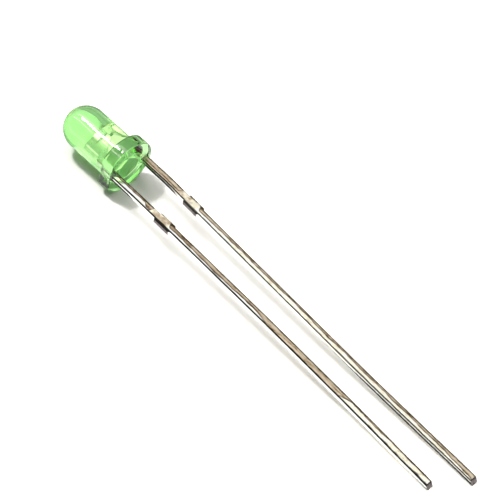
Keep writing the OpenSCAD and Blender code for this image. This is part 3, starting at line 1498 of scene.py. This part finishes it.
@dataclass
class CathodeStrip(Strip):
    """The cathode's strip, with the round head coined on its anvil and the cup pressed into it."""

    node: str = "cathode_lead"
    name: str = "cathode_strip"
    seed: float = 7.0
    twist_deg: float = 5.0
    head_r: float = 0.42
    head_h: float = 0.5
    head_ease: float = 0.02
    mouth_r: float = 0.33
    floor_r: float = 0.22
    depth: float = 0.26
    lip: float = 0.02
    press_over: float = 0.05
    sides: int = 96

    def turned(self, name: str, profile: Profile) -> Thing:
        """A plated solid turned about the body's axis.

        Args:
            name: name of the solid.
            profile: radius and height of each ring.

        Returns:
            The solid, in the upright drawing.
        """
        mould = Mould()
        mould.revolve(profile, self.sides, Zone.PLATED)
        return mould.piece(name)

    def head(self) -> Thing:
        """Round head with an eased rim.

        Returns:
            The solid that is joined to the anvil.
        """
        top, low, r, ease = self.top, self.top - self.head_h, self.head_r, self.head_ease
        profile = [(0.0, low), (r - 2 * ease, low), (r, low + 2 * ease), (r, top - ease)]
        return self.turned("coined_head", [*profile, (r - ease, top), (0.0, top)])

    def cup(self) -> Thing:
        """Solid that presses the reflector cup, with a rounded lip and floor.

        Returns:
            The solid that is cut out of the head.
        """
        floor, over, mouth = self.top - self.depth, self.top + self.press_over, self.mouth_r
        profile = [(0.0, floor), (self.floor_r - 0.02, floor), (self.floor_r, floor + 0.012)]
        profile += [(mouth - self.lip, self.top - self.lip), (mouth, self.top)]
        return self.turned("cup_press", [*profile, (mouth + 0.03, over), (0.0, over)])

    def build(self) -> Thing:
        """Builds the strip, adds its head, presses the cup and lays it in place.

        Returns:
            The strip, in place.
        """
        thing = self.build_strip()
        combine(thing, self.head(), "UNION")
        combine(thing, self.cup(), "DIFFERENCE")
        tidy_mesh(thing, self.sharp_deg)
        return self.dress(thing)

    def tin(self) -> Material:
        """The tin of this strip."""
        return self.finishes.cathode_tin


@dataclass
class Chip(Piece):
    """The chip: a sawn block with a mesa on top."""

    mesa_inset: float = 0.012
    mesa_h: float = 0.015
    saw_step: float = 0.006
    saw_waist: float = 0.45
    ease: float = 0.004
    rounding: float = 0.08
    corner_steps: int = 4

    def square(self, mould: Mould, half: float, z: float) -> Ring:
        """Adds a ring round a square with eased corners.

        Args:
            mould: the mould that it goes into.
            half: half the square's side.
            z: its height.

        Returns:
            The ring.
        """
        outline = rounded_box(half, half, half * self.rounding, self.corner_steps, (1, 1))
        return mould.add_ring([(x, y, z) for x, y in outline])

    def build(self) -> Thing:
        """Builds the chip from stacked squares.

        Returns:
            The chip, in place.
        """
        bottom, top = self.diode.extent("led_chip")
        half, low, high = top[0], bottom[2], top[2]
        waist = low + (high - low) * self.saw_waist
        sawn, mesa, ease = half - self.saw_step, half - self.mesa_inset, self.ease
        shelf = high - self.mesa_h
        rows = [(half - ease, low), (half, low + ease), (half, waist), (sawn, waist + 0.006)]
        rows += [(sawn, shelf), (mesa - ease, shelf + 0.002)]
        rows += [(mesa - 2 * ease, high - 0.003), (mesa - 3 * ease, high)]
        mould = Mould()
        mould.loft([self.square(mould, r, z) for r, z in rows], capped=True)
        thing = mould.piece("sawn_chip", 30.0)
        return self.settle(thing, "led_chip", Slot.CHIP, [self.finishes.crystal])


@dataclass
class Paste(Piece):
    """The paste: a squeezed-out bed that climbs a little up the chip's sides."""

    spread: float = 0.195
    widest: float = 0.215
    uneven: float = 0.06
    climb: float = 0.05
    wobble: float = 1.7
    seed: float = 4.0
    sides: int = 64

    def build(self) -> Thing:
        """Builds the bed as a low mound with an uneven edge.

        Returns:
            The paste, in place.
        """
        low, high = (corner[2] for corner in self.diode.extent("die_attach"))
        chip = self.diode.extent("led_chip")[1][0]
        edges = []
        for a in circle(self.sides):
            spot = Vector((math.cos(a) * self.wobble, math.sin(a) * self.wobble, self.seed))
            edge = self.spread * (1 + self.uneven * noise.noise(spot))
            edges.append((a, max(chip * 1.02, min(edge, self.widest))))
        rows = [(1.0, low), (0.97, low + 0.008), (0.85, high), (0.7, high + self.climb * 0.6)]
        mould = Mould()
        rings = [mould.add_ring([(0.0, 0.0, low)])]
        for share, z in rows:
            ring = [(r * share * math.cos(a), r * share * math.sin(a), z) for a, r in edges]
            rings.append(mould.add_ring(ring))
        rings.append(mould.add_ring([(0.0, 0.0, high)]))
        mould.loft(rings)
        thing = mould.piece("paste_bed", 60.0)
        return self.settle(thing, "die_attach", Slot.PASTE, [self.finishes.paste])


@dataclass
class BondWire(Piece):
    """The bond wire: a ball on the chip, a loop, and a flattened stitch on the post."""

    wire_r: float = 0.015
    ball_r: float = 0.045
    ball_h: float = 0.03
    ball_sides: int = 32
    stitch_l: float = 0.12
    stitch_w: float = 0.06
    stitch_h: float = 0.022
    stitch_steps: int = 8
    stitch_taper: float = 0.6
    loop_rise: float = 0.3
    flat_from: float = 0.93
    flattened: float = 0.55
    steps: int = 72
    sides: int = 14

    def route(self, t: float, start: Range, end: Range) -> Range:
        """Centre line of the wire, at a share of the way from the ball to the stitch.

        Args:
            t: the share.
            start: x and z of the ball's end.
            end: x and z of the stitch's end.

        Returns:
            The x and z there.
        """
        x = start[0] + (end[0] - start[0]) * (1 - math.cos(math.pi / 2 * t))
        z = start[1] + (end[1] - start[1]) * t + self.loop_rise * math.sin(math.pi * t**0.8)
        return x, z

    def build_ball(self, mould: Mould, base: float) -> None:
        """Turns the flattened ball that stands on the chip.

        Args:
            mould: the mould that it goes into.
            base: height of the chip's top.
        """
        r, h = self.ball_r, self.ball_h
        profile = [(0.0, 0.0), (r * 0.8, 0.0), (r, h * 0.3), (r, h * 0.6), (r * 0.7, h)]
        profile += [(self.wire_r * 1.3, h * 1.2), (0.0, h * 1.5)]
        mould.revolve([(radius, base + z) for radius, z in profile], self.ball_sides)

    def build_loop(self, mould: Mould, start: Range, end: Range) -> None:
        """Sweeps the wire along its route, flatter towards the stitch.

        Args:
            mould: the mould that it goes into.
            start: x and z of the ball's end.
            end: x and z of the stitch's end.
        """
        rings = []
        for k in range(self.steps + 1):
            t = k / self.steps
            x, z = self.route(t, start, end)
            before = self.route(max(t - 0.01, 0), start, end)
            after = self.route(min(t + 0.01, 1), start, end)
            slope = math.atan2(after[1] - before[1], after[0] - before[0])
            flat = smooth_step(self.flat_from, 1.0, t)
            ring = []
            for a in circle(self.sides):
                out = self.wire_r * math.cos(a) * (1 - self.flattened * flat)
                wide = self.wire_r * math.sin(a) * (1 + flat)
                ring.append((x - out * math.sin(slope), wide, z + out * math.cos(slope)))
            rings.append(mould.add_ring(ring))
        mould.loft(rings, capped=True)

    def build_stitch(self, mould: Mould, middle: float, base: float) -> None:
        """Builds the flattened stitch that lies on the post.

        Args:
            mould: the mould that it goes into.
            middle: x of its middle.
            base: height of the post's top.
        """
        rings = []
        for k in range(self.stitch_steps + 1):
            share = k / self.stitch_steps
            half = self.stitch_w / 2 * math.sqrt(max(0.02, 1 - (2 * share - 1) ** 2))
            x = middle + self.stitch_l / 2 - self.stitch_l * share
            crest = base + self.stitch_h * (1 - self.stitch_taper * share)
            feet = [(x, -half, base), (x, half, base)]
            rings.append(mould.add_ring([*feet, (x, half * 0.7, crest), (x, -half * 0.7, crest)]))
        mould.loft(rings, capped=True)

    def build(self) -> Thing:
        """Builds the wire, with its ball below and its stitch at the far end.

        Returns:
            The wire, in place.
        """
        chip_top, post_top = (self.diode.extent(node)[1][2] for node in ("led_chip", "anode_lead"))
        end_x = self.diode.extent("bond_wire")[0][0] + self.stitch_l / 2
        mould = Mould()
        self.build_ball(mould, chip_top)
        self.build_loop(mould, (0.0, chip_top + self.wire_r), (end_x, post_top + self.wire_r))
        self.build_stitch(mould, end_x, post_top)
        thing = mould.piece("gold_bond", 50.0)
        return self.settle(thing, "bond_wire", Slot.GOLD, [self.finishes.gold])


# ---------------------------------------------------------------- studio


@dataclass(frozen=True)
class Softbox:
    """A lamp panel: the direction it shines from, how wide it looks, and how bright.

    A panel that isn't mirrored or refracted lights the diode and the floor, and the white
    surroundings are what metal and resin show in its place. One that is casting_only is
    shaded by the casting alone.
    """

    name: str
    towards: Spot
    width_deg: float
    length_deg: float
    radiance: float
    mirrored: bool = True
    refracted: bool = True
    casting_only: bool = False
    distance: float = 0.4

    def build(self, aim: Vector, casting: bpy.types.Collection) -> Thing:
        """Hangs the panel, its long side along the diode, and points it at the aim.

        Args:
            aim: the point that it shines on.
            casting: collection of what alone shades a panel that is casting_only.

        Returns:
            The lamp's object.
        """
        data = bpy.data.lights.new(self.name, "AREA")
        data.shape = "RECTANGLE"
        data.size = 2 * self.distance * math.tan(math.radians(self.width_deg / 2))
        data.size_y = 2 * self.distance * math.tan(math.radians(self.length_deg / 2))
        data.energy = math.pi * self.radiance * data.size * data.size_y
        lamp = put_in_scene(self.name, data)
        back = Vector(self.towards).normalized()
        along = Vector((0.0, 1.0, 0.0))
        along = (along - back * along.dot(back)).normalized()
        turn = Matrix((along.cross(back), along, back)).transposed().to_4x4()
        lamp.matrix_world = Matrix.Translation(aim + back * self.distance) @ turn
        lamp.visible_camera = False
        lamp.visible_glossy = self.mirrored
        lamp.visible_transmission = self.refracted
        if self.casting_only:
            lamp.light_linking.blocker_collection = casting
        return lamp


def lay_sheet(name: str, spots: list[Spot], material: Material) -> Thing:
    """Makes a sheet of the stage: the floor, a card or a sheet of painted light and shade on the
    floor.

    Args:
        name: name of the sheet.
        spots: pairs of points, one at each side of the sheet, along its length.
        material: its material.

    Returns:
        The sheet.
    """
    mesh = bpy.data.meshes.new(name)
    faces = [(i, i + 1, i + 3, i + 2) for i in range(0, len(spots) - 2, 2)]
    mesh.from_pydata(spots, [], faces)
    mesh.materials.append(material)
    sheet = put_in_scene(name, mesh)
    sheet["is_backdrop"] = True
    return sheet


@dataclass(frozen=True, kw_only=True)
class Glow:
    """A sheet that gives off light, but only to what mirrors it or what lies within the resin."""

    name: str
    colour: Colour
    within: bool = False

    def hang(self, spots: list[Spot], direct: bool) -> Thing:
        """Makes the sheet, unseen by the camera.

        Args:
            spots: pairs of points along its length.
            direct: whether it goes out for light that a matt surface has scattered.

        Returns:
            The sheet.
        """
        nodes = Nodes.of_material(self.name)
        strength = nodes.lit_white() if direct else 1.0
        shade = nodes.add("ShaderNodeEmission", Color=(*self.colour, 1.0), Strength=strength)
        nodes.end(shade)
        sheet = lay_sheet(self.name, spots, nodes.owner)
        sheet.visible_camera = sheet.visible_shadow = sheet.visible_diffuse = False
        sheet.visible_glossy, sheet.visible_transmission = not self.within, self.within
        return sheet


@dataclass(frozen=True, kw_only=True)
class Card(Glow):
    """A card bent round the diode's length, from one angle to another.

    Angles are in degrees from the cathode's side, and ends are places along the diode, in
    metres.
    """

    arc: Range
    ends: Range = (-0.7, 0.7)
    radius: float = 0.34
    steps: int = 12

    def build(self) -> Thing:
        """Bends the card.

        Returns:
            The card.
        """
        spots = []
        for i in range(self.steps + 1):
            a = math.radians(self.arc[0] + (self.arc[1] - self.arc[0]) * i / self.steps)
            x, z = self.radius * math.cos(a), self.radius * math.sin(a)
            spots += [(x, end, z) for end in self.ends]
        return self.hang(spots, direct=True)


@dataclass(frozen=True, kw_only=True)
class FloorGlow(Glow):
    """A sheet on the floor beside or under the casting, with its reach across and along it in mm.
    Dark ones paint a shaded floor into the casting's reflections; those within paint light and
    shade onto the floor under the casting, as it is seen through the resin.
    """

    name: str = "painted_floor_glow"
    across: Range
    along: Range
    thickness: float = 0.02

    def build(self, floor: float) -> Thing:
        """Lays the sheet.

        Args:
            floor: height of the floor.

        Returns:
            The sheet.
        """
        z = floor + self.thickness * MM
        spots = [(x * MM, y * MM, z) for y in self.along for x in self.across]
        return self.hang(spots, direct=False)


PANELS = (
    Softbox("key_panel", (0.18, -0.43, 0.885), 9.0, 9.0, 26.0, refracted=False),
    Softbox(
        "shade_panel", (0.18, -0.43, 0.885), 4.0, 4.0, 200.0,
        mirrored=False, refracted=False, casting_only=True,
    ),
    Softbox("broad_panel", (0.02, -0.15, 0.99), 50.0, 60.0, 1.0, mirrored=False),
    Softbox("fill_panel", (0.02, -0.10, 0.99), 50.0, 60.0, 0.9, mirrored=False, refracted=False),
)
NEAR, FAR, BEYOND = (-0.22, 0.0), (-0.32, 0.0), (-1.6, -0.24)
CARDS = (
    Card(name="warm_card", arc=(148.0, 163.0), colour=(0.30, 0.27, 0.22)),
    Card(name="dim_card", arc=(4.0, 46.0), colour=(0.16, 0.16, 0.15)),
    Card(name="streak_card", arc=(56.0, 61.5), colour=(7.0, 7.0, 6.2)),
    Card(name="halo_card", arc=(85.0, 95.0), colour=(5.0, 5.0, 4.6)),
    Card(name="post_card", arc=(42.0, 96.0), colour=(5.4, 3.3, 4.6), within=True, ends=NEAR),
    Card(name="anvil_card", arc=(108.0, 129.0), colour=(3.8, 2.6, 3.2), within=True, ends=FAR),
    Card(name="end_card", arc=(20.0, 110.0), colour=(0.42, 0.42, 0.42), within=True, ends=BEYOND),
)
# Painted light and shade on the floor: the first two are dark sheets seen only in the casting's
# reflections, the others glow or darken the floor under the casting as seen through the resin.
FLOOR_GLOWS = (
    FloorGlow(across=(-40.0, -1.2), along=(-40.0, -0.6), colour=(0.16, 0.20, 0.16)),
    FloorGlow(across=(-1.2, 12.0), along=(-40.0, -4.4), colour=(0.16, 0.20, 0.16)),
    FloorGlow(across=(-1.9, 1.0), along=(-3.95, -3.3), colour=(1.7, 1.25, 1.4), within=True),
    FloorGlow(across=(-1.9, 1.0), along=(-3.08, -2.3), colour=(1.9, 1.3, 1.6), within=True),
    FloorGlow(across=(-1.14, 0.4), along=(-5.3, -4.0), colour=(0.62, 0.62, 0.62), within=True),
)


@dataclass(frozen=True)
class Studio:
    """Floor, lamps, cards, floor sheets of painted light and shade, surroundings and camera.

    The camera stands on a circle about the point it looks at, with its angles in degrees.
    """

    floor_half: float = 1.5
    floor_colour: Colour = (0.92, 0.92, 0.915)
    floor_seen: Colour = (1.37, 1.36, 1.29)
    sky: float = 0.07
    lamp_aim: Spot = (0.0, 0.004, 0.0)
    azimuth: float = 124.844
    elevation: float = 45.306
    roll: float = -13.75
    lens: float = 201.6
    distance: float = 0.17007
    aim: Spot = (-0.001184, 0.009509, 0.0)
    clip: Range = (0.01, 10.0)

    def build_floor(self, height: float) -> Thing:
        """Lays the pale floor that the diode rests on.

        Args:
            height: height of the floor.

        Returns:
            The floor.
        """
        nodes = Nodes.of_material("pale_floor")
        speck = nodes.grain((0.02, 0.02, 0.02), 2.0)
        plain = nodes.blend(speck, NOISE, dimmed(self.floor_colour, 0.985), self.floor_colour)
        colour = nodes.mix(nodes.lit_white(), plain, (*self.floor_seen, 1.0))
        nodes.end(nodes.add("ShaderNodeBsdfDiffuse", Color=colour))
        sides = (-self.floor_half, self.floor_half)
        return lay_sheet("pale_floor", [(x, y, height) for y in sides for x in sides], nodes.owner)

    def build_world(self) -> None:
        """Pale surroundings, white where they are seen or mirrored."""
        world = bpy.data.worlds.new("surroundings")
        nodes = Nodes(world)
        reach = nodes.span(nodes.lit_white(), WHOLE, (self.sky, 1.0))
        nodes.end(nodes.add("ShaderNodeBackground", Color=(1.0, 1.0, 1.0, 1.0), Strength=reach))
        bpy.context.scene.world = world

    def build_camera(self) -> Thing:
        """Sets up the camera: round, up and rolled about the point it looks at.

        Returns:
            The camera.
        """
        data = bpy.data.cameras.new("studio_camera")
        data.lens = self.lens
        data.clip_start, data.clip_end = self.clip
        camera = put_in_scene("studio_camera", data)
        a, e = math.radians(self.azimuth), math.radians(self.elevation)
        back = Vector((math.sin(a) * math.cos(e), -math.cos(a) * math.cos(e), math.sin(e)))
        level = back.to_track_quat("Z", "Y").to_matrix()
        turned = level @ Matrix.Rotation(math.radians(-self.roll), 3, "Z")
        stand = Matrix.Translation(Vector(self.aim) + back * self.distance)
        camera.matrix_world = stand @ turned.to_4x4()
        bpy.context.scene.camera = camera
        return camera

    def build(self, floor: float, body: Thing) -> None:
        """Builds the whole studio round the diode.

        Args:
            floor: height of the surface that the diode lies on.
            body: the casting, which shades the floor most.
        """
        self.build_floor(floor)
        for card in CARDS:
            card.build()
        for glow_sheet in FLOOR_GLOWS:
            glow_sheet.build(floor)
        self.build_world()
        casting = bpy.data.collections.new("casting")
        casting.objects.link(body)
        for panel in PANELS:
            panel.build(Vector(self.lamp_aim), casting)
        self.build_camera()
        bpy.context.scene.view_settings.view_transform = "Standard"


def main() -> None:
    """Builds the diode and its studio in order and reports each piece.

    The leads come first, because the casting creeps onto them.
    """
    logging.basicConfig(level=logging.INFO, format="%(name)s: %(message)s")
    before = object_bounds()
    diode = DiodeFrame.from_record(frame["record"])
    finishes = Wardrobe.build(diode)
    anode, cathode = Strip(diode, finishes), CathodeStrip(diode, finishes)
    pieces = [anode.build(), cathode.build()]
    pins = [(*strip.span_at_face(), lean) for strip, lean in ((anode, 0.25), (cathode, -0.2))]
    casting = EpoxyLens(diode, finishes, pins=pins).build()
    pieces += [casting, *[kind(diode, finishes).build() for kind in (Chip, Paste, BondWire)]]
    for piece in pieces:
        LOG.info("%s: %d faces", piece.name, len(piece.data.polygons))
    Studio().build(before[0].z, casting)
    bpy.context.view_layer.update()


if __name__ == "__main__":
    main()
